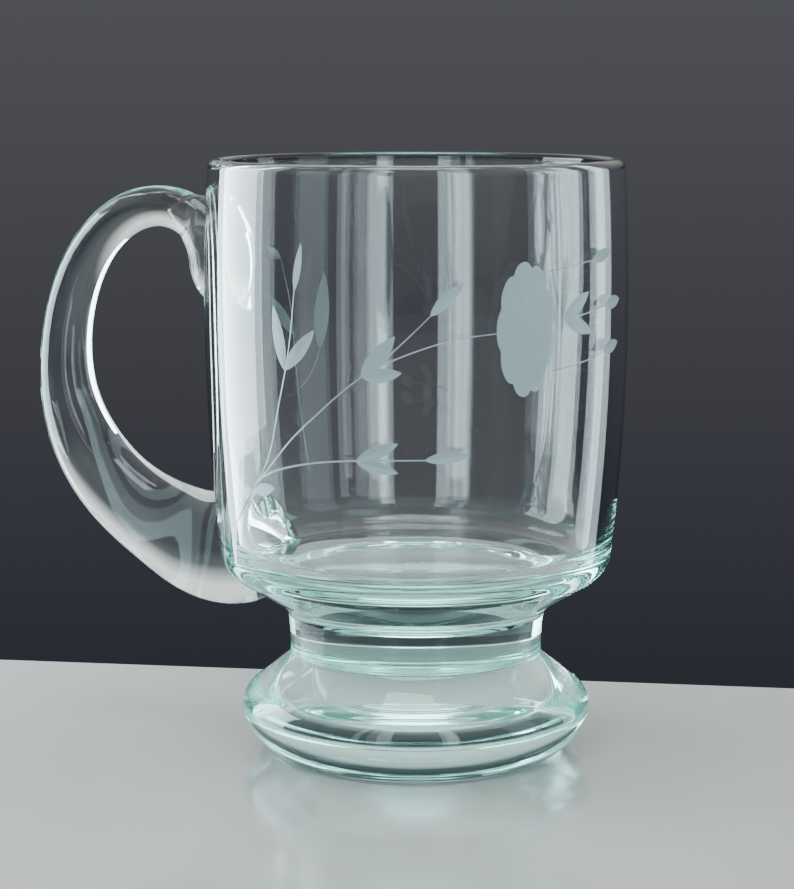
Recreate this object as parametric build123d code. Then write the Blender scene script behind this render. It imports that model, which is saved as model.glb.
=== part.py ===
"""A footed pint mug of clear glass: bowl, stem, foot and applied handle, fused face to face.

Millimetres. The origin is the centre of the ring that the foot rests on, +Z is up and the handle is
towards -X. The bowl, stem and foot are turned shapes, and their outlines are half sections in the XZ
plane, written as (radius, height). A sagitta is how far an arc stands off its chord.
"""
from build123d import *
import os

# Whole mug
HEIGHT = 130.0

# Flat joints where the three turned gathers of glass are fused
FOOT_JOINT_RADIUS = 27.0
FOOT_JOINT_Z = 21.5
BOWL_JOINT_RADIUS = 28.3
BOWL_JOINT_Z = 30.5

# Bowl, outside
RIM_RADIUS = 45.0
WALL_SAGITTA = 2.05
BASE_CORNER = (42.6, 40.6)
BASE_CORNER_ROUND = 7.5
UNDERSIDE_NECK = (31.6, 34.0)
NECK_SAGITTA = 0.45

# Bowl, inside
RIM_WALL = 3.2
BASE_WALL = 3.9
FLOOR_Z = 42.5
FLOOR_CORNER_ROUND = 7.0
RIM_OUTER_ROUND = 2.0
RIM_INNER_ROUND = 1.1

# Stem
STEM_LOWER_RADIUS = 27.8
STEM_LOWER_ROUND = 0.8
STEM_SAGITTA = 0.15

# Foot
REST_INNER_RADIUS = 26.4
REST_OUTER_RADIUS = 30.8
FLANK_BOTTOM = (33.3, 1.2)
FLANK_SAGITTA = 0.8
REST_EDGE_SAGITTA = 0.3
FOOT_RADIUS = 38.6
FOOT_WIDEST_Z = 9.2
SHOULDER = (35.3, 14.8)
SHOULDER_SAGITTA = 0.95
HOLLOW_EDGE_ROUND = 0.8
HOLLOW_CORNER = (23.8, 2.8)
HOLLOW_CORNER_ROUND = 1.6
HOLLOW_DEPTH = 3.4

# Handle: stations (reach from the axis, height, rod radius), from the upper seal round to the lower one
HANDLE_STATIONS = (
    (44.0, 95.8, 1.2),
    (47.2, 97.9, 3.5),
    (49.6, 102.2, 5.9),
    (50.8, 108.5, 6.3),
    (54.9, 114.7, 5.6),
    (62.6, 118.0, 4.8),
    (72.4, 116.9, 4.8),
    (81.4, 110.8, 5.0),
    (88.4, 99.8, 5.4),
    (91.7, 86.0, 5.9),
    (91.2, 74.0, 6.7),
    (86.2, 61.5, 8.0),
    (76.4, 51.0, 9.1),
    (63.0, 43.7, 10.8),
    (50.5, 40.4, 12.8),
    (41.0, 41.6, 12.2),
    (34.0, 44.5, 7.5),
)
HANDLE_SECTIONS = 30


def bowl_outside():
    """Draw the bowl's outline from the axis, under the base and up the wall to the rim."""
    neck = (BOWL_JOINT_RADIUS, BOWL_JOINT_Z)
    Line((0, BOWL_JOINT_Z), neck)
    SagittaArc(neck, UNDERSIDE_NECK, NECK_SAGITTA)
    Line(UNDERSIDE_NECK, BASE_CORNER)
    SagittaArc(BASE_CORNER, (RIM_RADIUS, HEIGHT), -WALL_SAGITTA)


def round_corner(section, corner, radius):
    """Round the corner of a sketch that lies nearest to the given point."""
    fillet(section.vertices().sort_by_distance(corner)[0], radius)


def solid_bowl():
    """The bowl's outer shape with nothing taken out of it, which the handle is sealed against."""
    with BuildPart() as blank:
        with BuildSketch(Plane.XZ) as section:
            with BuildLine():
                bowl_outside()
                Line((RIM_RADIUS, HEIGHT), (0, HEIGHT))
                Line((0, HEIGHT), (0, BOWL_JOINT_Z))
            make_face()
            round_corner(section, BASE_CORNER, BASE_CORNER_ROUND)
        revolve(axis=Axis.Z)
    return blank.part


def make_bowl():
    """The drinking vessel, with a heavy base, a wall that thins upwards and a fire-polished rim."""
    rim_outer = (RIM_RADIUS, HEIGHT)
    rim_inner = (RIM_RADIUS - RIM_WALL, HEIGHT)
    floor_corner = (BASE_CORNER[0] - BASE_WALL, FLOOR_Z)
    with BuildPart() as bowl:
        with BuildSketch(Plane.XZ) as section:
            with BuildLine():
                bowl_outside()
                Line(rim_outer, rim_inner)
                SagittaArc(rim_inner, floor_corner, WALL_SAGITTA)
                Line(floor_corner, (0, FLOOR_Z))
                Line((0, FLOOR_Z), (0, BOWL_JOINT_Z))
            make_face()
            round_corner(section, BASE_CORNER, BASE_CORNER_ROUND)
            round_corner(section, floor_corner, FLOOR_CORNER_ROUND)
            round_corner(section, rim_outer, RIM_OUTER_ROUND)
            round_corner(section, rim_inner, RIM_INNER_ROUND)
        revolve(axis=Axis.Z)
    return bowl.part


def make_stem():
    """The short solid waist, slightly hollow in outline, with a rounded lower edge."""
    lower_edge = (STEM_LOWER_RADIUS, FOOT_JOINT_Z)
    with BuildPart() as stem:
        with BuildSketch(Plane.XZ) as section:
            with BuildLine():
                Line((0, FOOT_JOINT_Z), lower_edge)
                SagittaArc(lower_edge, (BOWL_JOINT_RADIUS, BOWL_JOINT_Z), STEM_SAGITTA)
                Line((BOWL_JOINT_RADIUS, BOWL_JOINT_Z), (0, BOWL_JOINT_Z))
                Line((0, BOWL_JOINT_Z), (0, FOOT_JOINT_Z))
            make_face()
            round_corner(section, lower_edge, STEM_LOWER_ROUND)
        revolve(axis=Axis.Z)
    return stem.part


def make_foot():
    """The spreading foot: a flat resting ring, a rounded edge, a sloping top and a shallow hollow below."""
    hollow_edge = (REST_INNER_RADIUS, 0)
    rest_outer = (REST_OUTER_RADIUS, 0)
    widest = (FOOT_RADIUS, FOOT_WIDEST_Z)
    joint = (FOOT_JOINT_RADIUS, FOOT_JOINT_Z)
    dome_rise = HOLLOW_DEPTH - HOLLOW_CORNER[1]
    dome_radius = (HOLLOW_CORNER[0] ** 2 + dome_rise**2) / (2 * dome_rise)
    with BuildPart() as foot:
        with BuildSketch(Plane.XZ) as section:
            with BuildLine():
                Line(hollow_edge, HOLLOW_CORNER)
                RadiusArc(HOLLOW_CORNER, (0, HOLLOW_DEPTH), -dome_radius)
                Line(hollow_edge, rest_outer)
                SagittaArc(rest_outer, FLANK_BOTTOM, -REST_EDGE_SAGITTA)
                SagittaArc(FLANK_BOTTOM, widest, -FLANK_SAGITTA)
                SagittaArc(widest, SHOULDER, -SHOULDER_SAGITTA)
                Line(SHOULDER, joint)
                Line(joint, (0, FOOT_JOINT_Z))
                Line((0, FOOT_JOINT_Z), (0, HOLLOW_DEPTH))
            make_face()
            round_corner(section, hollow_edge, HOLLOW_EDGE_ROUND)
            round_corner(section, HOLLOW_CORNER, HOLLOW_CORNER_ROUND)
        revolve(axis=Axis.Z)
    return foot.part


def make_handle():
    """One drawn rod of glass, lofted through round sections and cut to the bowl's outside."""
    course = Spline(*[(-reach, rod_radius, height) for reach, height, rod_radius in HANDLE_STATIONS])
    sections = []
    for step in range(HANDLE_SECTIONS + 1):
        fraction = step / HANDLE_SECTIONS
        point = course @ fraction
        heading = course % fraction
        station = Plane(
            origin=(point.X, 0, point.Z),
            x_dir=(0, 1, 0),
            z_dir=(heading.X, 0, heading.Z),
        )
        sections.append(station * Circle(point.Y))
    return loft(sections) - solid_bowl()


def main():
    os.makedirs("parts", exist_ok=True)
    nodes = {
        "bowl": make_bowl(),
        "stem": make_stem(),
        "foot": make_foot(),
        "handle": make_handle(),
    }
    for name, shape in nodes.items():
        export_step(shape, f"parts/{name}.step")


main()
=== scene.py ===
"""Looks for the footed pint mug: clear, faintly green glass with a wheel-cut leaf spray round the bowl.

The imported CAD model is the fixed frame. Each CAD node is stood for by a smooth mesh of the same shape.
Lengths are millimetres until a mesh or a light is made, and +Z is up. The handle is towards -X.
"""

import math

import bmesh
import bpy
import numpy as np
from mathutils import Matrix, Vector
from mathutils.geometry import delaunay_2d_cdt


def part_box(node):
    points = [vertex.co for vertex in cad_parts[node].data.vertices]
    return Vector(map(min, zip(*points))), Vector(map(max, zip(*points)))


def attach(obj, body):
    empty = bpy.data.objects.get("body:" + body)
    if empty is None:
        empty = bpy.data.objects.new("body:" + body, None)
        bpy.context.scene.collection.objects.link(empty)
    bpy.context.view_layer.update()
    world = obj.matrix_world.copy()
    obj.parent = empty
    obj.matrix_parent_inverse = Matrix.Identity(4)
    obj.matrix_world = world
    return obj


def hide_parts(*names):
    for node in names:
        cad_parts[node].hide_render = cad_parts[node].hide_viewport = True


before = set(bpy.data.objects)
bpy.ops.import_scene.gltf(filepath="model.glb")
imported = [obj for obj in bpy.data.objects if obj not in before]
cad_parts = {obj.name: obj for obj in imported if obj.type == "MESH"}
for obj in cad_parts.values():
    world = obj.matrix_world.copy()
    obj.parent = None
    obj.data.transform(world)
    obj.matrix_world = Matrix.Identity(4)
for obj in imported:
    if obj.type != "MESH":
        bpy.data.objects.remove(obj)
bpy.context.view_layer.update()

MM = 0.001

# Joints and overall heights, from the frame
BOWL_BOTTOM, BOWL_TOP = [corner.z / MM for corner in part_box("bowl")]
FOOT_BOTTOM, FOOT_TOP = [corner.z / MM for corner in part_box("foot")]
FOOT_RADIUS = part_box("foot")[1].x / MM

# Bowl outline: (radius, height) corners, bulges of its arcs and rounds of its corners
BOWL_JOINT_RADIUS = 28.3
UNDERSIDE_NECK = (31.6, 34.0)
NECK_BULGE = 0.45
NECK_ROUND = 2.5
BASE_CORNER = (42.6, 40.6)
BASE_CORNER_ROUND = 7.5
RIM_RADIUS = 45.0
WALL_BULGE = 2.05
RIM_WALL = 3.2
BASE_WALL = 3.9
FLOOR_HEIGHT = 42.5
FLOOR_CORNER_ROUND = 7.0
RIM_OUTER_ROUND = 2.0
RIM_INNER_ROUND = 1.1

# Stem and foot outlines
FOOT_JOINT_RADIUS = 27.0
STEM_LOWER_RADIUS = 27.8
STEM_LOWER_ROUND = 0.7
STEM_BULGE = 0.15
REST_INNER_RADIUS = 26.4
REST_OUTER_RADIUS = 30.8
REST_EDGE_BULGE = 0.3
FLANK_BOTTOM = (33.3, 1.2)
FLANK_BULGE = 0.8
FOOT_WIDEST_HEIGHT = 9.2
SHOULDER = (35.3, 14.8)
SHOULDER_BULGE = 0.95
HOLLOW_CORNER = (23.8, 2.8)
HOLLOW_DEPTH = 3.4
HOLLOW_EDGE_ROUND = 0.8
HOLLOW_CORNER_ROUND = 1.6

# Handle: stations (reach from the axis, height, rod radius), from the upper seal round to the lower one
HANDLE_STATIONS = (
    (44.0, 95.8, 1.2),
    (47.2, 97.9, 3.5),
    (49.6, 102.2, 5.9),
    (50.8, 108.5, 6.3),
    (54.9, 114.7, 5.6),
    (62.6, 118.0, 4.8),
    (72.4, 116.9, 4.8),
    (81.4, 110.8, 5.0),
    (88.4, 99.8, 5.4),
    (91.7, 86.0, 5.9),
    (91.2, 74.0, 6.7),
    (86.2, 61.5, 8.0),
    (76.4, 51.0, 9.1),
    (63.0, 43.7, 10.8),
    (50.5, 40.4, 12.8),
    (41.0, 41.6, 12.2),
    (34.0, 44.5, 7.5),
)
HANDLE_LINES = 96
HANDLE_ROWS = 360

# Crease where the handle's upper end was pressed on: its reach at the flanks, the inside and the outside
CREASE_REACH = (59.8, 52.8, 57.0)
CREASE_DEPTH = 0.55
CREASE_STEP = 0.8
CREASE_FADE = 5.0

# Cut spray: places on the wall are (angle in degrees, height), and widths are across the cut
SPRAY_STEMS = (
    (0.42, ((-112, 63.5), (-108, 67), (-102, 79.5), (-98.5, 90), (-96, 105))),
    (0.42, ((-112, 63.5), (-106, 67.5), (-98.5, 73.5), (-90, 79.5), (-82, 85), (-74.5, 89.5))),
    (0.34, ((-74.5, 89.5), (-64, 93), (-53, 95.5), (-42, 96.5))),
    (0.34, ((-75, 89), (-70, 92.5), (-60, 100.2))),
    (0.46, ((-112, 63.5), (-107, 66), (-101, 67.8), (-92, 69.5), (-80, 70.6), (-61, 71))),
    (0.46, ((-112, 63.5), (-115, 60.5), (-119, 57), (-123, 54))),
    (0.34, ((-28, 108.6), (-20, 109.3), (-11, 110.2))),
    (0.34, ((-26.5, 98.3), (-20, 98.8), (-12, 99.5), (-4.5, 100.6))),
    (0.34, ((-26.5, 88.2), (-16, 89.2), (-4.5, 91))),
    (0.42, ((154, 56), (155.5, 66), (157.5, 82), (159, 95), (163, 106))),
    (0.34, ((156.5, 75), (152, 78), (148, 84))),
)
SPRAY_LEAVES = (
    ((-96, 104.5), (-94, 114.5), 1.7),
    ((-99.3, 88.3), (-102.8, 101.5), 2.8),
    ((-99.1, 88.3), (-90, 97), 3.0),
    ((-112.5, 62), (-104, 63.5), 2.8),
    ((-110.8, 65.6), (-110, 74), 1.8),
    ((-77.5, 87.7), (-68.8, 96.2), 3.4),
    ((-77, 87.6), (-67, 88.8), 2.9),
    ((-60, 100.2), (-51.5, 107), 2.6),
    ((-79, 70.6), (-68, 74.4), 2.7),
    ((-79, 70.4), (-68, 68.3), 2.6),
    ((-61.3, 71), (-49.3, 72), 2.5),
    ((-11, 110.2), (-1.5, 111.6), 2.8),
    ((-22.2, 98.7), (-12.8, 103.8), 3.0),
    ((-22.2, 98.5), (-11.2, 95.2), 3.0),
    ((-4.5, 100.6), (5, 101.2), 2.8),
    ((-4.8, 91), (4, 92.2), 2.8),
    ((148, 84), (146, 102), 4.0),
    ((158, 88), (167, 97), 3.0),
    ((163, 106), (170, 108.5), 2.4),
)
BLOSSOM_CENTRE = (-34.3, 97)
BLOSSOM_HALF_WIDTH = 6.6
BLOSSOM_HALF_HEIGHT = 13.8
BLOSSOM_LOBES = 9
BLOSSOM_NOTCH = 0.09
BLOSSOM_NOTCH_SHARPNESS = 1.5
POINTS_PER_LOBE = 10
BLOSSOM_DEPTH = 0.3
BLOSSOM_SLOPE = 0.5
BLOSSOM_RINGS = (0.94, 0.82, 0.7, 0.58, 0.46, 0.34, 0.22, 0.1)
PETAL_RIDGE_DEPTH = 0.1
PETAL_SLOPE = 0.06
LEAF_SLOPE = 0.22
LEAF_DEPTH = 0.3
LEAF_POINTS = 15
LEAF_LEAN = 0.9
LEAF_FULLNESS = 0.8
STEM_SLOPE = 0.6
STEM_TIP_SHARE = 0.6
STEM_STEP = 1.0
STEM_FEWEST_POINTS = 6

# Meshing: counts, gaps, and how near is near enough
COLUMNS = 216
SEAM_ANGLE = math.radians(110)
FLAT_RADIUS = 44.0
NET_CLEARANCE = 0.3
NET_WELD = 1e-5
WHOLE_HULL = 0  # asks Blender for triangles over the whole net
JOINT_GAP = 0.01
JOINT_LIP = 0.3
WELD = 0.002
ON_AXIS = 1e-6
ON_EDGE = 0.001
ON_WALL = 0.02
SAME_WAY = 0.8
POINT_GAP = 0.05
ROUND_FIT = 1e-7
DOME_POINTS = 20
SEAL_STEPS = 600
SEAL_HALVINGS = 40
SHARP_ANGLE = math.radians(38)

# Camera: where it stands about the axis, and the angle of view of the picture's height
CAMERA_AZIMUTH = math.radians(26.5)
CAMERA_DISTANCE = 542.8
CAMERA_HEIGHT = 148.9
CAMERA_TILT = math.radians(8.53)
CAMERA_PAN = math.radians(0.44)
CAMERA_VIEW = math.radians(20.18)
SENSOR = 24.0
CLIP_START = 0.01

# Floor: a pale table top that ends a little behind the glass, its back edge a little askew to the view
FLOOR_BEHIND = 63.0
FLOOR_BEFORE = 900.0
FLOOR_HALF_WIDTH = 800.0
FLOOR_ASKEW = math.radians(8.2)
FLOOR_DROP = 0.02

# Soft boxes: name, degrees round from the camera, distance, lowest and highest edge, width, radiance
SOFT_BOXES = (
    ("side_left", -109, 335, -100, 240, 231, 10.0),
    ("side_right", 113.5, 310, -100, 240, 87, 2.8),
    ("far_right", 72, 310, 4, 240, 126, 1.2),
    ("far_pane", -36, 230, 4, 250, 18, 2.0),
    ("left_pane", -22, 230, 4, 250, 62, 1.4),
    ("left_pane_core", -19, 225, 4, 250, 34, 2.7),
    ("right_pane", 21, 230, 4, 250, 44, 3.0),
    ("right_pane_core", 22, 225, 4, 250, 26, 3.0),
)
BOX_COLOUR = (0.8, 0.95, 1.0)
TOP_BOX_HEIGHT = 900.0
TOP_BOX_OFFSET = 0.1
TOP_BOX_SIDE = 420.0
TOP_BOX_RADIANCE = 5.0

# Glass
GLASS_IOR = 1.5
TINT_COLOUR = (0.3, 0.85, 0.78, 1)
TINT_DENSITY = 8.5
CUT_COLOUR = (0.38, 0.48, 0.51, 1)
CUT_TRANSMISSION = 0.45
CUT_ROUGHNESS = 0.6
CUT_GRAIN = 0.1
FILM_ROUGHNESS = 0.03
SCUFF_LEAST_ROUGHNESS = 0.05
SCUFF_ROUGHNESS = 0.3
SCUFF_HEIGHT = 0.4
DRAW_LINE_DEPTH = 0.008
DRAW_LINE_STRETCH = (1, 1, 0.12)
RIPPLE_DEPTH = 0.03

# Floor
FLOOR_ROUGHNESS = (0.12, 0.2)
FLOOR_DARKEST = (0.32, 0.32, 0.31, 1)
FLOOR_LIGHTEST = (0.37, 0.37, 0.36, 1)

# Room: sine of the elevation, and the colour there. Dark behind the mug, pale well above it
ROOM_LEVELS = (
    (-0.25, (0.035, 0.036, 0.047, 1)),
    (0.05, (0.1, 0.102, 0.112, 1)),
    (0.12, (0.3, 0.31, 0.31, 1)),
    (0.35, (0.9, 0.91, 0.9, 1)),
)

# Light paths and picture
GLASS_BOUNCES = 32
GLOSSY_BOUNCES = 16
BRIGHTEST_INDIRECT = 6.0
PICTURE_LOOK = "AgX - Medium High Contrast"


# ---------------------------------------------------------------- outlines in the (radius, height) plane

def line(start, end, count=12):
    """Points along a straight line."""
    return np.linspace(start, end, count)


def arc(start, end, bulge, count=16):
    """Points along the arc that stands off its chord by bulge, to the left of the way from start to end."""
    start, end = np.array(start, float), np.array(end, float)
    chord = end - start
    length = np.hypot(*chord)
    left = np.array((-chord[1], chord[0])) / length
    radius = (length**2 / 4 + bulge**2) / (2 * abs(bulge))
    centre = (start + end) / 2 + left * (bulge - math.copysign(radius, bulge))
    first = math.atan2(*(start - centre)[::-1])
    turn = -math.copysign(2 * math.asin(min(1.0, length / (2 * radius))), bulge)
    angles = first + np.linspace(0, turn, count)
    return centre + radius * np.stack((np.cos(angles), np.sin(angles)), axis=1)


def lengths_along(path):
    """The length along a polyline to each of its points."""
    return np.r_[0, np.cumsum(np.linalg.norm(np.diff(path, axis=0), axis=1))]


def at_length(lengths, values, length):
    """What a row of values comes to, at a length along the polyline that they belong to."""
    return np.array([np.interp(length, lengths, column) for column in values.T])


def nearest_on(path, point):
    """The nearest point of a polyline to a point, and the length along the polyline to it."""
    start, along = path[:-1], np.diff(path, axis=0)
    share = np.clip(((point - start) * along).sum(1) / (along**2).sum(1), 0, 1)
    places = start + share[:, None] * along
    best = int(np.argmin(np.linalg.norm(places - point, axis=1)))
    spans = np.linalg.norm(along, axis=1)
    return places[best], spans[:best].sum() + share[best] * spans[best]


def rounded(before, after, radius, count=9):
    """Joins two polylines that meet at a corner, with the corner rounded to radius."""
    arriving, leaving = before[-1] - before[-2], after[1] - after[0]
    side = math.copysign(1.0, arriving[0] * leaving[1] - arriving[1] * leaving[0])
    lengths = lengths_along(before)
    heading = np.gradient(before, lengths, axis=0, edge_order=2)
    short, long = 0.0, lengths[-1]
    while long - short > ROUND_FIT:
        length = (short + long) / 2
        touch = at_length(lengths, before, length)
        way = at_length(lengths, heading, length)
        centre = touch + side * radius * np.array((-way[1], way[0])) / np.hypot(*way)
        other_touch, other_length = nearest_on(after, centre)
        if np.hypot(*(other_touch - centre)) > radius:
            short = length
        else:
            long = length
    start, end = [math.atan2(*(point - centre)[::-1]) for point in (touch, other_touch)]
    turn = (end - start + math.pi) % (2 * math.pi) - math.pi
    angles = start + np.linspace(0, turn, count)
    corner = centre + radius * np.stack((np.cos(angles), np.sin(angles)), axis=1)
    kept_before = before[lengths < length - POINT_GAP]
    kept_after = after[lengths_along(after) > other_length + POINT_GAP]
    return np.concatenate((kept_before, corner, kept_after))


def joined(*paths):
    """One polyline from several that follow each other."""
    return np.concatenate([paths[0]] + [path[1:] for path in paths[1:]])


def bowl_outlines():
    """The bowl's half section, from the stem joint round to the axis, parted at the crest of the rim."""
    rim_inner = (RIM_RADIUS - RIM_WALL, BOWL_TOP)
    floor_corner = (BASE_CORNER[0] - BASE_WALL, FLOOR_HEIGHT)
    underside = line(UNDERSIDE_NECK, BASE_CORNER, count=10)
    outer_wall = arc(BASE_CORNER, (RIM_RADIUS, BOWL_TOP), -WALL_BULGE, count=44)
    rim = line((RIM_RADIUS, BOWL_TOP), rim_inner)
    inner_wall = arc(rim_inner, floor_corner, WALL_BULGE, count=40)
    floor = line(floor_corner, (0, FLOOR_HEIGHT), count=14)
    outline = arc((BOWL_JOINT_RADIUS, BOWL_BOTTOM), UNDERSIDE_NECK, NECK_BULGE, count=6)
    outline = rounded(outline, underside, NECK_ROUND, count=6)
    outline = rounded(outline, outer_wall, BASE_CORNER_ROUND, count=12)
    outline = rounded(outline, rim, RIM_OUTER_ROUND, count=9)
    outline = rounded(outline, inner_wall, RIM_INNER_ROUND, count=8)
    outline = rounded(outline, floor, FLOOR_CORNER_ROUND, count=14)
    crest = int(np.argmax(outline[:, 1] > BOWL_TOP - WELD))
    return outline[:crest + 1], outline[crest:]


def outline_normals(outline):
    """Unit normals to the right of the way along the outline."""
    heading = np.gradient(outline, axis=0)
    normals = np.stack((heading[:, 1], -heading[:, 0]), axis=1)
    return normals / np.linalg.norm(normals, axis=1)[:, None]


def disc(radius, height, lift):
    """A joint face, from the axis out to its edge. It stands off its neighbour except at the edge."""
    inner = radius - JOINT_LIP
    lifted = height + lift
    return np.array(((0, lifted), (inner / 2, lifted), (inner, lifted), (radius, height)))


# ---------------------------------------------------------------- meshes

class Skin:
    """Points, faces and face marks of one mesh while it is put together."""

    def __init__(self):
        self.points = []
        self.faces = []
        self.cut = []
        self.fused = []

    def add(self, points, faces, cut=None, fused=None):
        """Adds faces, numbered from the first of the added points. Unmarked faces are clear and open."""
        start = len(self.points)
        self.points.extend(map(tuple, points))
        self.faces.extend([tuple(start + i for i in face) for face in faces])
        self.cut.extend(cut if cut is not None else [0.0] * len(faces))
        self.fused.extend(fused if fused is not None else [0.0] * len(faces))


def turn_outline(skin, outline, fused=False):
    """Adds the surface that an outline sweeps about the axis. The outside is to the right of its way."""
    angles = SEAM_ANGLE + np.arange(COLUMNS) * (2 * math.pi / COLUMNS)
    points, rings = [], []
    for radius, height in outline:
        if radius < ON_AXIS:
            rings.append([len(points)] * COLUMNS)
            points.append((0.0, 0.0, height))
            continue
        rings.append(list(range(len(points), len(points) + COLUMNS)))
        points.extend((radius * math.cos(a), radius * math.sin(a), height) for a in angles)
    faces = []
    for lower, upper in zip(rings[:-1], rings[1:]):
        for i in range(COLUMNS):
            j = (i + 1) % COLUMNS
            corners = (lower[i], lower[j], upper[j], upper[i])
            faces.append(tuple(dict.fromkeys(corners)))
    skin.add(points, faces, fused=[float(fused)] * len(faces))


def finished_mesh(name, skin, normal_at=None):
    """The Blender object of a skin, welded and smooth. normal_at gives exact normals for some faces."""
    mesh = bpy.data.meshes.new(name)
    mesh.from_pydata([Vector(p) * MM for p in skin.points], [], skin.faces)
    for label, values in (("cut", skin.cut), ("fused", skin.fused)):
        layer = mesh.attributes.new(label, "FLOAT", "FACE")
        layer.data.foreach_set("value", values)
    work = bmesh.new()
    work.from_mesh(mesh)
    bmesh.ops.remove_doubles(work, verts=work.verts, dist=WELD * MM)
    work.to_mesh(mesh)
    work.free()
    mesh.polygons.foreach_set("use_smooth", [True] * len(mesh.polygons))
    mesh.set_sharp_from_angle(angle=SHARP_ANGLE)
    if normal_at is not None:
        set_wall_normals(mesh, normal_at)
    piece = bpy.data.objects.new(name, mesh)
    bpy.context.scene.collection.objects.link(piece)
    return piece


def set_wall_normals(mesh, normal_at):
    """Gives the clear faces of a wall the exact normals of the turned surface under them."""
    normals = [tuple(corner.vector) for corner in mesh.corner_normals]
    cut = mesh.attributes["cut"].data
    for face in mesh.polygons:
        for loop in face.loop_indices:
            if cut[face.index].value > 0:
                normals[loop] = tuple(face.normal)
                continue
            place = mesh.vertices[mesh.loops[loop].vertex_index].co / MM
            exact = normal_at(place, face.normal)
            if exact is not None:
                normals[loop] = exact
    mesh.normals_split_custom_set(normals)


# ---------------------------------------------------------------- handle

def cubic_through(stations):
    """A smooth curve through the stations: a function from 0..1 to points, with natural ends."""
    points = np.array(stations, float)
    knots = lengths_along(points)
    knots /= knots[-1]
    gaps = np.diff(knots)
    count = len(points)
    system = np.eye(count)
    right = np.zeros_like(points)
    for i in range(1, count - 1):
        system[i, i - 1:i + 2] = gaps[i - 1], 2 * (gaps[i - 1] + gaps[i]), gaps[i]
        right[i] = 6 * ((points[i + 1] - points[i]) / gaps[i] - (points[i] - points[i - 1]) / gaps[i - 1])
    bend = np.linalg.solve(system, right)

    def at(share):
        share = np.atleast_1d(share)
        i = np.clip(np.searchsorted(knots, share) - 1, 0, count - 2)
        h = gaps[i][:, None]
        before, after = (share - knots[i])[:, None], (knots[i + 1] - share)[:, None]
        value = (bend[i] * after**3 + bend[i + 1] * before**3) / (6 * h)
        value += (
            (points[i] / h - bend[i] * h / 6) * after
            + (points[i + 1] / h - bend[i + 1] * h / 6) * before
        )
        slope = (-bend[i] * after**2 + bend[i + 1] * before**2) / (2 * h)
        slope += (points[i + 1] - points[i]) / h - (bend[i + 1] - bend[i]) * h / 6
        return value, slope

    return at


def crease_depth(reach, around):
    """How deep the rod's surface is sunk just beyond the crease. Around is 0 on the inside of the loop."""
    flank, inside, outside = CREASE_REACH
    inward = np.cos(around)
    start = flank - (flank - inside) * np.maximum(inward, 0) - (flank - outside) * np.maximum(-inward, 0)
    beyond = np.maximum(reach - start, 0)
    return CREASE_DEPTH * np.minimum(beyond / CREASE_STEP, 1) * np.exp(-beyond / CREASE_FADE)


def rod_point(course, share, around):
    """A point on the handle's rod: share of the way along it, and an angle round it."""
    (reach, height, radius), slope = [v.T for v in course(share)]
    upper = np.atleast_1d(share) < 0.5
    radius = radius - np.where(upper, crease_depth(reach, around), 0)
    length = np.hypot(slope[0], slope[1])
    across = np.stack((slope[1], -slope[0])) / length
    x = -(reach + across[0] * radius * np.cos(around))
    y = radius * np.sin(around)
    z = height + across[1] * radius * np.cos(around)
    return np.stack((x, y, z), axis=-1)


def distance_to(path, points):
    """Distance from each point to a polyline."""
    return np.array([np.hypot(*(nearest_on(path, point)[0] - point)) for point in points])


def outside_wall(points, outline):
    """How far each point stands outside the bowl's outer surface."""
    wall = np.interp(points[..., 2], outline[:, 1], outline[:, 0])
    return np.hypot(points[..., 0], points[..., 1]) - wall


def seal_share(course, outline, around, start, end):
    """Where, on the way from start to end, a line of the rod first meets the bowl."""
    shares = np.linspace(start, end, SEAL_STEPS)
    gaps = outside_wall(rod_point(course, shares, around), outline)
    inside = int(np.argmax(gaps < 0))
    low, high = shares[inside - 1], shares[inside]
    for _ in range(SEAL_HALVINGS):
        middle = (low + high) / 2
        if outside_wall(rod_point(course, middle, around), outline)[0] < 0:
            high = middle
        else:
            low = middle
    return (low + high) / 2


def handle_grid(outline):
    """The rod's points: one row per step along it, from the upper seal to the lower, each row a ring."""
    course = cubic_through(HANDLE_STATIONS)
    lines = []
    for around in np.arange(HANDLE_LINES) * (2 * math.pi / HANDLE_LINES):
        upper = seal_share(course, outline, around, 0.5, 0.0)
        lower = seal_share(course, outline, around, 0.5, 1.0)
        shares = np.linspace(upper, lower, HANDLE_ROWS)
        lines.append(rod_point(course, shares, around))
    return np.array(lines).transpose(1, 0, 2)


# ---------------------------------------------------------------- bowl wall, unrolled

def unwound(angle):
    """The same angle, within the turn that ends at the seam."""
    return (angle - SEAM_ANGLE) % (2 * math.pi) + SEAM_ANGLE - 2 * math.pi


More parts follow.
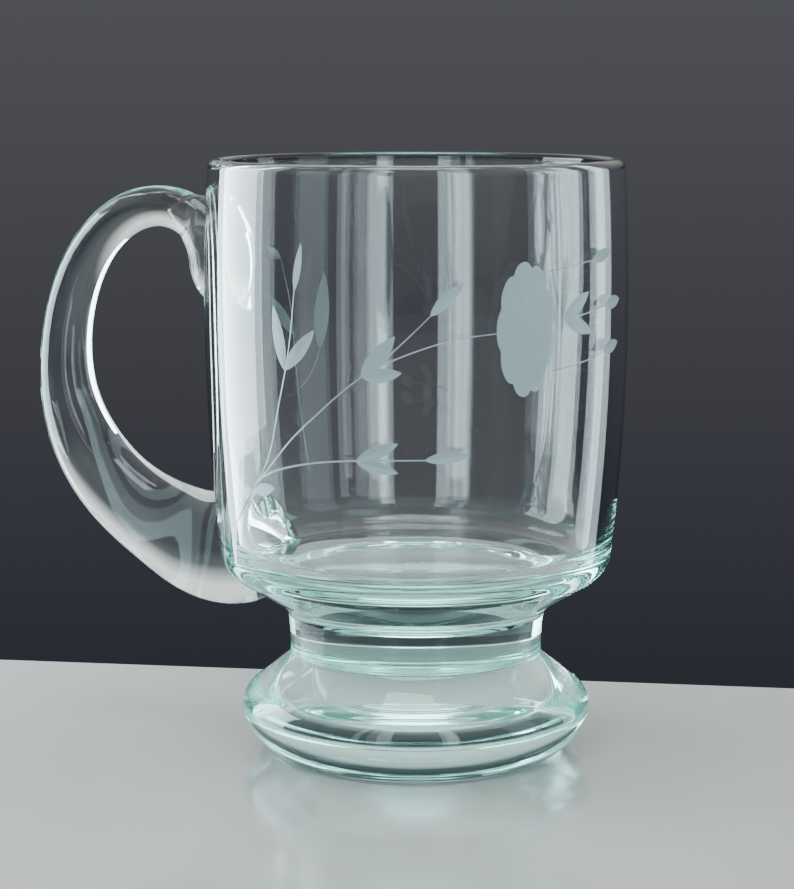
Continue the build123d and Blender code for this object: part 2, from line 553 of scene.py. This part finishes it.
class Wall:
    """The bowl's outside, unrolled: across is angle times FLAT_RADIUS, up is length along the outline."""

    def __init__(self, outline):
        self.outline = outline
        self.normals = outline_normals(outline)
        self.lengths = lengths_along(outline)

    def length_at(self, height):
        """The length along the outline up to a height."""
        return np.interp(height, self.outline[:, 1], self.lengths)

    def flat(self, points):
        """Unrolls points of the surface."""
        angle = unwound(np.arctan2(points[:, 1], points[:, 0]))
        return np.stack((angle * FLAT_RADIUS, self.length_at(points[:, 2])), axis=1)

    def place(self, angle, height):
        """Unrolls a place on the wall that is given by its angle in degrees and its height."""
        return np.array((unwound(math.radians(angle)) * FLAT_RADIUS, self.length_at(height)))

    def solid(self, flat, depth):
        """Rolls flat points up again, sunk below the surface by depth."""
        angle, up = flat[:, 0] / FLAT_RADIUS, flat[:, 1]
        r, z = at_length(self.lengths, self.outline, up)
        nr, nz = at_length(self.lengths, self.normals, up)
        r, z = r - nr * depth, z - nz * depth
        return np.stack((r * np.cos(angle), r * np.sin(angle), z), axis=1)

    def normal_at(self, place, face_normal):
        """The exact outward normal at a place on the clear outside, or None for any other face."""
        angle = math.atan2(place.y, place.x)
        up = self.length_at(place.z)
        nr, nz = at_length(self.lengths, self.normals, up)
        exact = (nr * math.cos(angle), nr * math.sin(angle), nz)
        radius = np.interp(place.z, self.outline[:, 1], self.outline[:, 0])
        off_wall = abs(math.hypot(place.x, place.y) - radius) > ON_WALL
        if off_wall or Vector(exact).dot(face_normal) < SAME_WAY:
            return None
        return exact


class Cut:
    """One cut in the wall: its edge, the points meshed inside it, and its depth."""

    def __init__(self, edge, inner, slope, limit, floor=None):
        self.edge = counterclockwise(edge)
        self.inner = inner
        self.slope = slope
        self.limit = limit
        self.floor = floor

    def depth_at(self, points):
        """A cut's sides slope down from its edge, to its limit and to the shape of its floor."""
        gap = distance_to(np.r_[self.edge, self.edge[:1]], points)
        depth = np.minimum(self.limit, self.slope * gap)
        return depth if self.floor is None else np.minimum(depth, self.floor(points))


def ribbon(middle, half_widths, slope, limit):
    """A cut that follows a middle line, with pointed or narrow ends."""
    heading = np.gradient(middle, axis=0)
    heading /= np.linalg.norm(heading, axis=1)[:, None]
    across = np.stack((-heading[:, 1], heading[:, 0]), axis=1) * half_widths[:, None]
    left, right = middle + across, middle - across
    closed = np.concatenate((right, left[::-1]))
    spread = np.linalg.norm(closed - np.roll(closed, 1, axis=0), axis=1)
    return Cut(closed[spread > ON_EDGE], middle[1:-1], slope, limit)


def stem_cut(wall, width, places):
    """A thin groove through the given places, finer towards its end."""
    course = cubic_through([tuple(wall.place(*place)) for place in places])
    length = np.linalg.norm(wall.place(*places[-1]) - wall.place(*places[0]))
    count = max(STEM_FEWEST_POINTS, int(length / STEM_STEP))
    middle = course(np.linspace(0, 1, count))[0]
    half_widths = np.linspace(width, width * STEM_TIP_SHARE, count) / 2
    return ribbon(middle, half_widths, STEM_SLOPE, LEAF_DEPTH)


def leaf_cut(wall, base, tip, width):
    """A pointed leaf of two facets that meet along its middle."""
    shares = np.linspace(0, 1, LEAF_POINTS)[:, None]
    middle = wall.place(*base) * (1 - shares) + wall.place(*tip) * shares
    half_widths = width / 2 * np.sin(math.pi * shares[:, 0] ** LEAF_LEAN) ** LEAF_FULLNESS
    return ribbon(middle, half_widths, LEAF_SLOPE, LEAF_DEPTH)


def blossom_cut(wall):
    """The open blossom: a matt oval with a lobed edge, each lobe a petal hollowed along its middle."""
    angles = np.linspace(0, 2 * math.pi, BLOSSOM_LOBES * POINTS_PER_LOBE + 1)[:-1]
    notches = (1 - np.abs(np.sin(angles * BLOSSOM_LOBES / 2))) ** BLOSSOM_NOTCH_SHARPNESS
    lobes = 1 - BLOSSOM_NOTCH * notches
    oval = np.stack((BLOSSOM_HALF_WIDTH * np.cos(angles), BLOSSOM_HALF_HEIGHT * np.sin(angles)), axis=1)
    centre = wall.place(*BLOSSOM_CENTRE)
    edge = oval * lobes[:, None]
    ridges = oval[::POINTS_PER_LOBE]
    ridges = ridges / np.linalg.norm(ridges, axis=1)[:, None]

    def petals(points):
        """Depth of the petals: least along the ridges between them."""
        offsets = points - centre
        along = offsets @ ridges.T
        across = np.abs(offsets[:, :1] * ridges[:, 1] - offsets[:, 1:] * ridges[:, 0])
        reach = np.linalg.norm(offsets, axis=1)[:, None]
        return PETAL_RIDGE_DEPTH + PETAL_SLOPE * np.where(along > 0, across, reach).min(axis=1)

    inner = np.concatenate([centre + edge * share for share in BLOSSOM_RINGS])
    return Cut(centre + edge, inner, BLOSSOM_SLOPE, BLOSSOM_DEPTH, petals)


def cut_spray(wall):
    """Every cut of the spray."""
    cuts = [stem_cut(wall, width, places) for width, places in SPRAY_STEMS]
    cuts += [leaf_cut(wall, *leaf) for leaf in SPRAY_LEAVES]
    return cuts + [blossom_cut(wall)]


def net_depths(flat, triangles, sources, cuts):
    """How deep each point of the net lies: the deepest of the cuts that hold it."""
    holders = [set() for _ in cuts]
    for triangle, source in zip(triangles, sources):
        for number in source:
            if number < len(cuts):
                holders[number].update(triangle)
    depths = np.zeros(len(flat))
    for cut, held in zip(cuts, holders):
        held = sorted(held)
        if held:
            depths[held] = np.maximum(depths[held], cut.depth_at(flat[held]))
    return depths


def counterclockwise(loop):
    """The loop's points, in the order that keeps its inside to the left."""
    x, y = loop.T
    area = (x * np.roll(y, -1) - np.roll(x, -1) * y).sum()
    return loop if area > 0 else loop[::-1]


def wall_net(wall, shapes, seals):
    """Triangles over the unrolled wall that follow the edges of every cut shape and handle seal."""
    columns = (SEAM_ANGLE - 2 * math.pi + np.arange(COLUMNS + 1) * (2 * math.pi / COLUMNS)) * FLAT_RADIUS
    grid = np.array([(x, y) for y in wall.lengths for x in columns])
    loops = [shape.edge for shape in shapes] + [counterclockwise(seal) for seal in seals]
    edge_points = np.concatenate(loops)
    near = np.array([np.min(np.hypot(*(edge_points - p).T)) < NET_CLEARANCE for p in grid])
    inside_grid = (grid[:, 0] > columns[0]) & (grid[:, 0] < columns[-1])
    inside_grid &= (grid[:, 1] > wall.lengths[0]) & (grid[:, 1] < wall.lengths[-1])
    points = [tuple(p) for p in grid[~(near & inside_grid)]]
    faces = []
    for loop in loops:
        faces.append(list(range(len(points), len(points) + len(loop))))
        points.extend(map(tuple, loop))
    for shape in shapes:
        points.extend(map(tuple, shape.inner))
    corners = [Vector(p) for p in points]
    net = delaunay_2d_cdt(corners, [], faces, WHOLE_HULL, NET_WELD, True)
    flat, _, triangles, _, _, sources = net
    return np.array([tuple(p) for p in flat]), triangles, sources


def bowl_skin(wall, outline_in, net, marks, cuts):
    """The bowl: its cut and sealed outside, its inside and its joint with the stem."""
    flat, triangles, sources = net
    cut, fused = marks
    outside = wall.solid(flat, net_depths(flat, triangles, sources, cuts))
    bowl = Skin()
    bowl.add(outside, triangles, cut=cut, fused=fused)
    turn_outline(bowl, outline_in)
    turn_outline(bowl, disc(BOWL_JOINT_RADIUS, BOWL_BOTTOM, JOINT_GAP), fused=True)
    return bowl


def handle_skin(wall, rows, seals, net, fused):
    """The handle: its rod, closed at both ends by the bowl's own seal triangles, turned over."""
    flat, triangles, _ = net
    row_count, line_count, _ = rows.shape
    faces = []
    for i in range(row_count - 1):
        here, there = i * line_count, (i + 1) * line_count
        for j in range(line_count):
            k = (j + 1) % line_count
            faces.append((here + j, there + j, there + k, here + k))
    handle = Skin()
    handle.add(rows.reshape(-1, 3), faces)
    sealed = [triangle for triangle, mark in zip(triangles, fused) if mark]
    used = sorted({i for triangle in sealed for i in triangle})
    gaps = np.min([distance_to(np.r_[seal, seal[:1]], flat[used]) for seal in seals], axis=0)
    lifted = wall.solid(flat[used], np.where(gaps < ON_EDGE, 0.0, -JOINT_GAP))
    index = {old: new for new, old in enumerate(used)}
    caps = [tuple(index[i] for i in reversed(triangle)) for triangle in sealed]
    handle.add(lifted, caps, fused=[1.0] * len(caps))
    return handle


def bowl_and_handle():
    """The bowl and the handle, which share the triangles of their two seals."""
    outline_out, outline_in = bowl_outlines()
    wall = Wall(outline_out)
    rows = handle_grid(outline_out)
    seals = [wall.flat(rows[0]), wall.flat(rows[-1])]
    cuts = cut_spray(wall)
    net = wall_net(wall, cuts, seals)
    sources = net[-1]
    cut = [float(any(source < len(cuts) for source in held)) for held in sources]
    fused = [float(any(source >= len(cuts) for source in held)) for held in sources]
    bowl = bowl_skin(wall, outline_in, net, (cut, fused), cuts)
    handle = handle_skin(wall, rows, seals, net, fused)
    return finished_mesh("bowl_glass", bowl, wall.normal_at), finished_mesh("handle_glass", handle)


def make_stem():
    """The short waist between the bowl and the foot."""
    lower_edge = (STEM_LOWER_RADIUS, FOOT_TOP)
    base = line((FOOT_JOINT_RADIUS, FOOT_TOP), lower_edge, count=3)
    side = arc(lower_edge, (BOWL_JOINT_RADIUS, BOWL_BOTTOM), STEM_BULGE, count=10)
    stem = Skin()
    turn_outline(stem, disc(FOOT_JOINT_RADIUS, FOOT_TOP, JOINT_GAP), fused=True)
    turn_outline(stem, rounded(base, side, STEM_LOWER_ROUND, count=8))
    turn_outline(stem, disc(BOWL_JOINT_RADIUS, BOWL_BOTTOM, -JOINT_GAP)[::-1], fused=True)
    return finished_mesh("stem_glass", stem)


def make_foot():
    """The spreading foot, with a flat resting ring and a shallow hollow inside it."""
    hollow_edge = (REST_INNER_RADIUS, FOOT_BOTTOM)
    rest_outer = (REST_OUTER_RADIUS, FOOT_BOTTOM)
    widest = (FOOT_RADIUS, FOOT_WIDEST_HEIGHT)
    rise = HOLLOW_DEPTH - HOLLOW_CORNER[1]
    radius = (HOLLOW_CORNER[0] ** 2 + rise**2) / (2 * rise)
    reach = HOLLOW_CORNER[0] * np.linspace(0, 1, DOME_POINTS)
    dome = np.stack((reach, HOLLOW_DEPTH - radius + np.sqrt(radius**2 - reach**2)), axis=1)
    hollow = rounded(dome, line(HOLLOW_CORNER, hollow_edge), HOLLOW_CORNER_ROUND, count=8)
    ring = line(hollow_edge, rest_outer, count=6)
    sides = joined(
        arc(rest_outer, FLANK_BOTTOM, -REST_EDGE_BULGE, count=5),
        arc(FLANK_BOTTOM, widest, -FLANK_BULGE, count=12),
        arc(widest, SHOULDER, -SHOULDER_BULGE, count=10),
        line(SHOULDER, (FOOT_JOINT_RADIUS, FOOT_TOP), count=8),
    )
    foot = Skin()
    turn_outline(foot, joined(rounded(hollow, ring, HOLLOW_EDGE_ROUND, count=6), sides))
    turn_outline(foot, disc(FOOT_JOINT_RADIUS, FOOT_TOP, -JOINT_GAP)[::-1], fused=True)
    return finished_mesh("foot_glass", foot)


# ---------------------------------------------------------------- materials

def node(tree, kind, label, **values):
    """A new shader node, with some of its plain inputs set."""
    made = tree.nodes.new(kind)
    made.label = label
    for name, value in values.items():
        made.inputs[name.replace("_", " ")].default_value = value
    return made


def by_mark(tree, mark, clear_value, marked_value):
    """A number that is clear_value, and marked_value on the faces that carry the mark."""
    source = tree.nodes.new("ShaderNodeAttribute")
    source.attribute_name = mark
    blend = node(tree, "ShaderNodeMapRange", mark, To_Min=clear_value, To_Max=marked_value)
    tree.links.new(source.outputs["Fac"], blend.inputs["Value"])
    return blend.outputs["Result"]


def mix_numbers(tree, label, factor, first, second):
    """A number between first and second, each of them a plain number or another node's output."""
    blend = tree.nodes.new("ShaderNodeMix")
    blend.label = label
    tree.links.new(factor, blend.inputs["Factor"])
    for socket, value in (("A", first), ("B", second)):
        if isinstance(value, float):
            blend.inputs[socket].default_value = value
        else:
            tree.links.new(value, blend.inputs[socket])
    return blend.outputs["Result"]


def noise(tree, label, scale, detail, levels=(0.0, 1.0), spread=(0.0, 1.0), stretch=(1, 1, 1)):
    """A noise over the piece's own coordinates, spread between two values as it goes between two levels."""
    low, high = levels
    least, most = spread
    place = tree.nodes.new("ShaderNodeTexCoord")
    fit = node(tree, "ShaderNodeMapping", label, Scale=stretch)
    grain = node(tree, "ShaderNodeTexNoise", label, Scale=scale, Detail=detail)
    fitted = node(tree, "ShaderNodeMapRange", label, From_Min=low, From_Max=high, To_Min=least, To_Max=most)
    tree.links.new(place.outputs["Object"], fit.inputs["Vector"])
    tree.links.new(fit.outputs["Vector"], grain.inputs["Vector"])
    tree.links.new(grain.outputs["Fac"], fitted.inputs["Value"])
    return fitted.outputs["Result"]


def bump(tree, height, distance, under=None):
    """A bump of the given height pattern, over another one if there is one."""
    made = node(tree, "ShaderNodeBump", "bump", Strength=1.0, Distance=distance * MM)
    tree.links.new(height, made.inputs["Height"])
    if under is not None:
        tree.links.new(under, made.inputs["Normal"])
    return made.outputs["Normal"]


def near_floor(tree, height):
    """A number that is 1 on the floor and 0 from the given height up."""
    place = tree.nodes.new("ShaderNodeTexCoord")
    axes = tree.nodes.new("ShaderNodeSeparateXYZ")
    level = node(tree, "ShaderNodeMapRange", "wear", From_Min=height * MM, From_Max=0.0)
    tree.links.new(place.outputs["Object"], axes.inputs["Vector"])
    tree.links.new(axes.outputs["Z"], level.inputs["Value"])
    return level.outputs["Result"]


def glass_material():
    """Clear soda glass with soft draw lines; matt where it is cut, scuffed where it rests on the table."""
    material = bpy.data.materials.new("clear_glass")
    material.use_nodes = True
    tree = material.node_tree
    shader = tree.nodes["Principled BSDF"]
    link = tree.links.new

    frost = tree.nodes.new("ShaderNodeMix")
    frost.data_type = "RGBA"
    frost.inputs["A"].default_value = (1, 1, 1, 1)
    frost.inputs["B"].default_value = CUT_COLOUR
    link(by_mark(tree, "cut", 0.0, 1.0), frost.inputs["Factor"])
    link(frost.outputs["Result"], shader.inputs["Base Color"])
    link(by_mark(tree, "fused", GLASS_IOR, 1.0), shader.inputs["IOR"])
    link(by_mark(tree, "cut", 1.0, CUT_TRANSMISSION), shader.inputs["Transmission Weight"])

    film = noise(tree, "film", scale=60.0, detail=3.0, levels=(0.45, 0.7), spread=(0.0, FILM_ROUGHNESS))
    scuff_spread = (SCUFF_LEAST_ROUGHNESS, SCUFF_ROUGHNESS)
    scuffs = noise(tree, "scuffs", scale=900.0, detail=2.0, levels=(0.35, 0.6), spread=scuff_spread)
    clear = mix_numbers(tree, "resting ring", near_floor(tree, SCUFF_HEIGHT), film, scuffs)
    grain_spread = (CUT_ROUGHNESS - CUT_GRAIN, CUT_ROUGHNESS + CUT_GRAIN)
    grain = noise(tree, "wheel grain", scale=1500.0, detail=2.0, levels=(0.3, 0.7), spread=grain_spread)
    link(mix_numbers(tree, "cut", by_mark(tree, "cut", 0.0, 1.0), clear, grain), shader.inputs["Roughness"])

    draw_lines = noise(tree, "draw lines", scale=45.0, detail=1.0, stretch=DRAW_LINE_STRETCH)
    ripple = noise(tree, "ripple", scale=22.0, detail=0.0)
    link(bump(tree, draw_lines, DRAW_LINE_DEPTH, bump(tree, ripple, RIPPLE_DEPTH)), shader.inputs["Normal"])

    tint = node(tree, "ShaderNodeVolumeAbsorption", "tint", Color=TINT_COLOUR, Density=TINT_DENSITY)
    link(tint.outputs["Volume"], tree.nodes["Material Output"].inputs["Volume"])
    return material


def floor_material():
    """Pale, satin table top with faint clouding."""
    material = bpy.data.materials.new("pale_floor")
    material.use_nodes = True
    tree = material.node_tree
    shader = tree.nodes["Principled BSDF"]
    clouds = noise(tree, "clouds", scale=9.0, detail=4.0, levels=(0.3, 0.7))
    tones = tree.nodes.new("ShaderNodeMix")
    tones.data_type = "RGBA"
    tones.inputs["A"].default_value = FLOOR_DARKEST
    tones.inputs["B"].default_value = FLOOR_LIGHTEST
    tree.links.new(clouds, tones.inputs["Factor"])
    tree.links.new(tones.outputs["Result"], shader.inputs["Base Color"])
    satin = noise(tree, "satin", scale=30.0, detail=3.0, levels=(0.3, 0.7), spread=FLOOR_ROUGHNESS)
    tree.links.new(satin, shader.inputs["Roughness"])
    return material


# ---------------------------------------------------------------- studio

def round_from_camera(turn, distance, height):
    """A point at a distance from the mug's axis, turned about it from the camera's side. Degrees."""
    azimuth = CAMERA_AZIMUTH + math.radians(turn)
    return Vector((math.sin(azimuth) * distance, -math.cos(azimuth) * distance, height)) * MM


def make_floor():
    """The table top, which ends a little behind the mug."""
    corners = (
        (-FLOOR_HALF_WIDTH, -FLOOR_BEFORE, 0),
        (FLOOR_HALF_WIDTH, -FLOOR_BEFORE, 0),
        (FLOOR_HALF_WIDTH, FLOOR_BEHIND, 0),
        (-FLOOR_HALF_WIDTH, FLOOR_BEHIND, 0),
    )
    mesh = bpy.data.meshes.new("floor")
    mesh.from_pydata([Vector(corner) * MM for corner in corners], [], [(0, 1, 2, 3)])
    mesh.materials.append(floor_material())
    floor = bpy.data.objects.new("floor", mesh)
    floor.location.z = -FLOOR_DROP * MM
    floor.rotation_euler.z = CAMERA_AZIMUTH - FLOOR_ASKEW
    bpy.context.scene.collection.objects.link(floor)


def make_camera():
    """The camera, at the fitted place of the photograph's camera."""
    data = bpy.data.cameras.new("camera")
    data.sensor_fit = "VERTICAL"
    data.sensor_height = SENSOR
    data.lens = SENSOR / (2 * math.tan(CAMERA_VIEW / 2))
    data.clip_start = CLIP_START
    camera = bpy.data.objects.new("camera", data)
    camera.location = round_from_camera(0, CAMERA_DISTANCE, CAMERA_HEIGHT)
    heading = CAMERA_AZIMUTH + math.pi / 2 + CAMERA_PAN
    level, down = math.cos(CAMERA_TILT), math.sin(CAMERA_TILT)
    look = Vector((math.cos(heading) * level, math.sin(heading) * level, -down))
    camera.rotation_euler = look.to_track_quat("-Z", "Y").to_euler()
    bpy.context.scene.collection.objects.link(camera)
    bpy.context.scene.camera = camera


def soft_box(name, place, target, width, tall, radiance):
    """A soft box at a place, facing a target. The camera doesn't see the box itself, only its light."""
    data = bpy.data.lights.new(name, "AREA")
    data.shape = "RECTANGLE"
    data.size = width * MM
    data.size_y = tall * MM
    data.energy = radiance * math.pi * data.size * data.size_y
    data.color = BOX_COLOUR
    box = bpy.data.objects.new(name, data)
    box.location = place
    box.rotation_euler = (target - place).to_track_quat("-Z", "Y").to_euler()
    box.visible_camera = False
    bpy.context.scene.collection.objects.link(box)


def make_lights():
    """Soft boxes beside the mug and low in front of it, and a larger one overhead."""
    for name, turn, distance, low, high, width, radiance in SOFT_BOXES:
        middle = (low + high) / 2
        place = round_from_camera(turn, distance, middle)
        soft_box(name, place, round_from_camera(turn, 0, middle), width, high - low, radiance)
    overhead = round_from_camera(0, TOP_BOX_OFFSET, TOP_BOX_HEIGHT)
    soft_box("top", overhead, Vector((0, 0, 0)), TOP_BOX_SIDE, TOP_BOX_SIDE, TOP_BOX_RADIANCE)


def make_room():
    """A plain room, dark behind the mug and pale overhead."""
    world = bpy.data.worlds.new("studio")
    world.use_nodes = True
    tree = world.node_tree
    place = tree.nodes.new("ShaderNodeTexCoord")
    axes = tree.nodes.new("ShaderNodeSeparateXYZ")
    level = node(tree, "ShaderNodeMapRange", "level", From_Min=-1.0, From_Max=1.0)
    ramp = tree.nodes.new("ShaderNodeValToRGB")
    stops = ramp.color_ramp.elements
    while len(stops) < len(ROOM_LEVELS):
        stops.new(0.5)
    for stop, (sine, colour) in zip(stops, ROOM_LEVELS):
        stop.position = (sine + 1) / 2
        stop.color = colour
    tree.links.new(place.outputs["Generated"], axes.inputs["Vector"])
    tree.links.new(axes.outputs["Z"], level.inputs["Value"])
    tree.links.new(level.outputs["Result"], ramp.inputs["Fac"])
    tree.links.new(ramp.outputs["Color"], tree.nodes["Background"].inputs["Color"])
    bpy.context.scene.world = world


def set_light_paths():
    """Enough bounces for light to pass through every wall of the glass, and the picture's contrast."""
    cycles = bpy.context.scene.cycles
    cycles.max_bounces = GLASS_BOUNCES
    cycles.transmission_bounces = GLASS_BOUNCES
    cycles.glossy_bounces = GLOSSY_BOUNCES
    cycles.use_denoising = True
    cycles.sample_clamp_indirect = BRIGHTEST_INDIRECT
    bpy.context.scene.view_settings.look = PICTURE_LOOK


# ---------------------------------------------------------------- scene

glass = glass_material()
bowl_piece, handle_piece = bowl_and_handle()
stand_ins = {"bowl": bowl_piece, "stem": make_stem(), "foot": make_foot(), "handle": handle_piece}
for name, piece in stand_ins.items():
    piece.data.materials.append(glass)
    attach(piece, "root")
    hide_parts(name)

make_floor()
make_camera()
make_lights()
make_room()
set_light_paths()
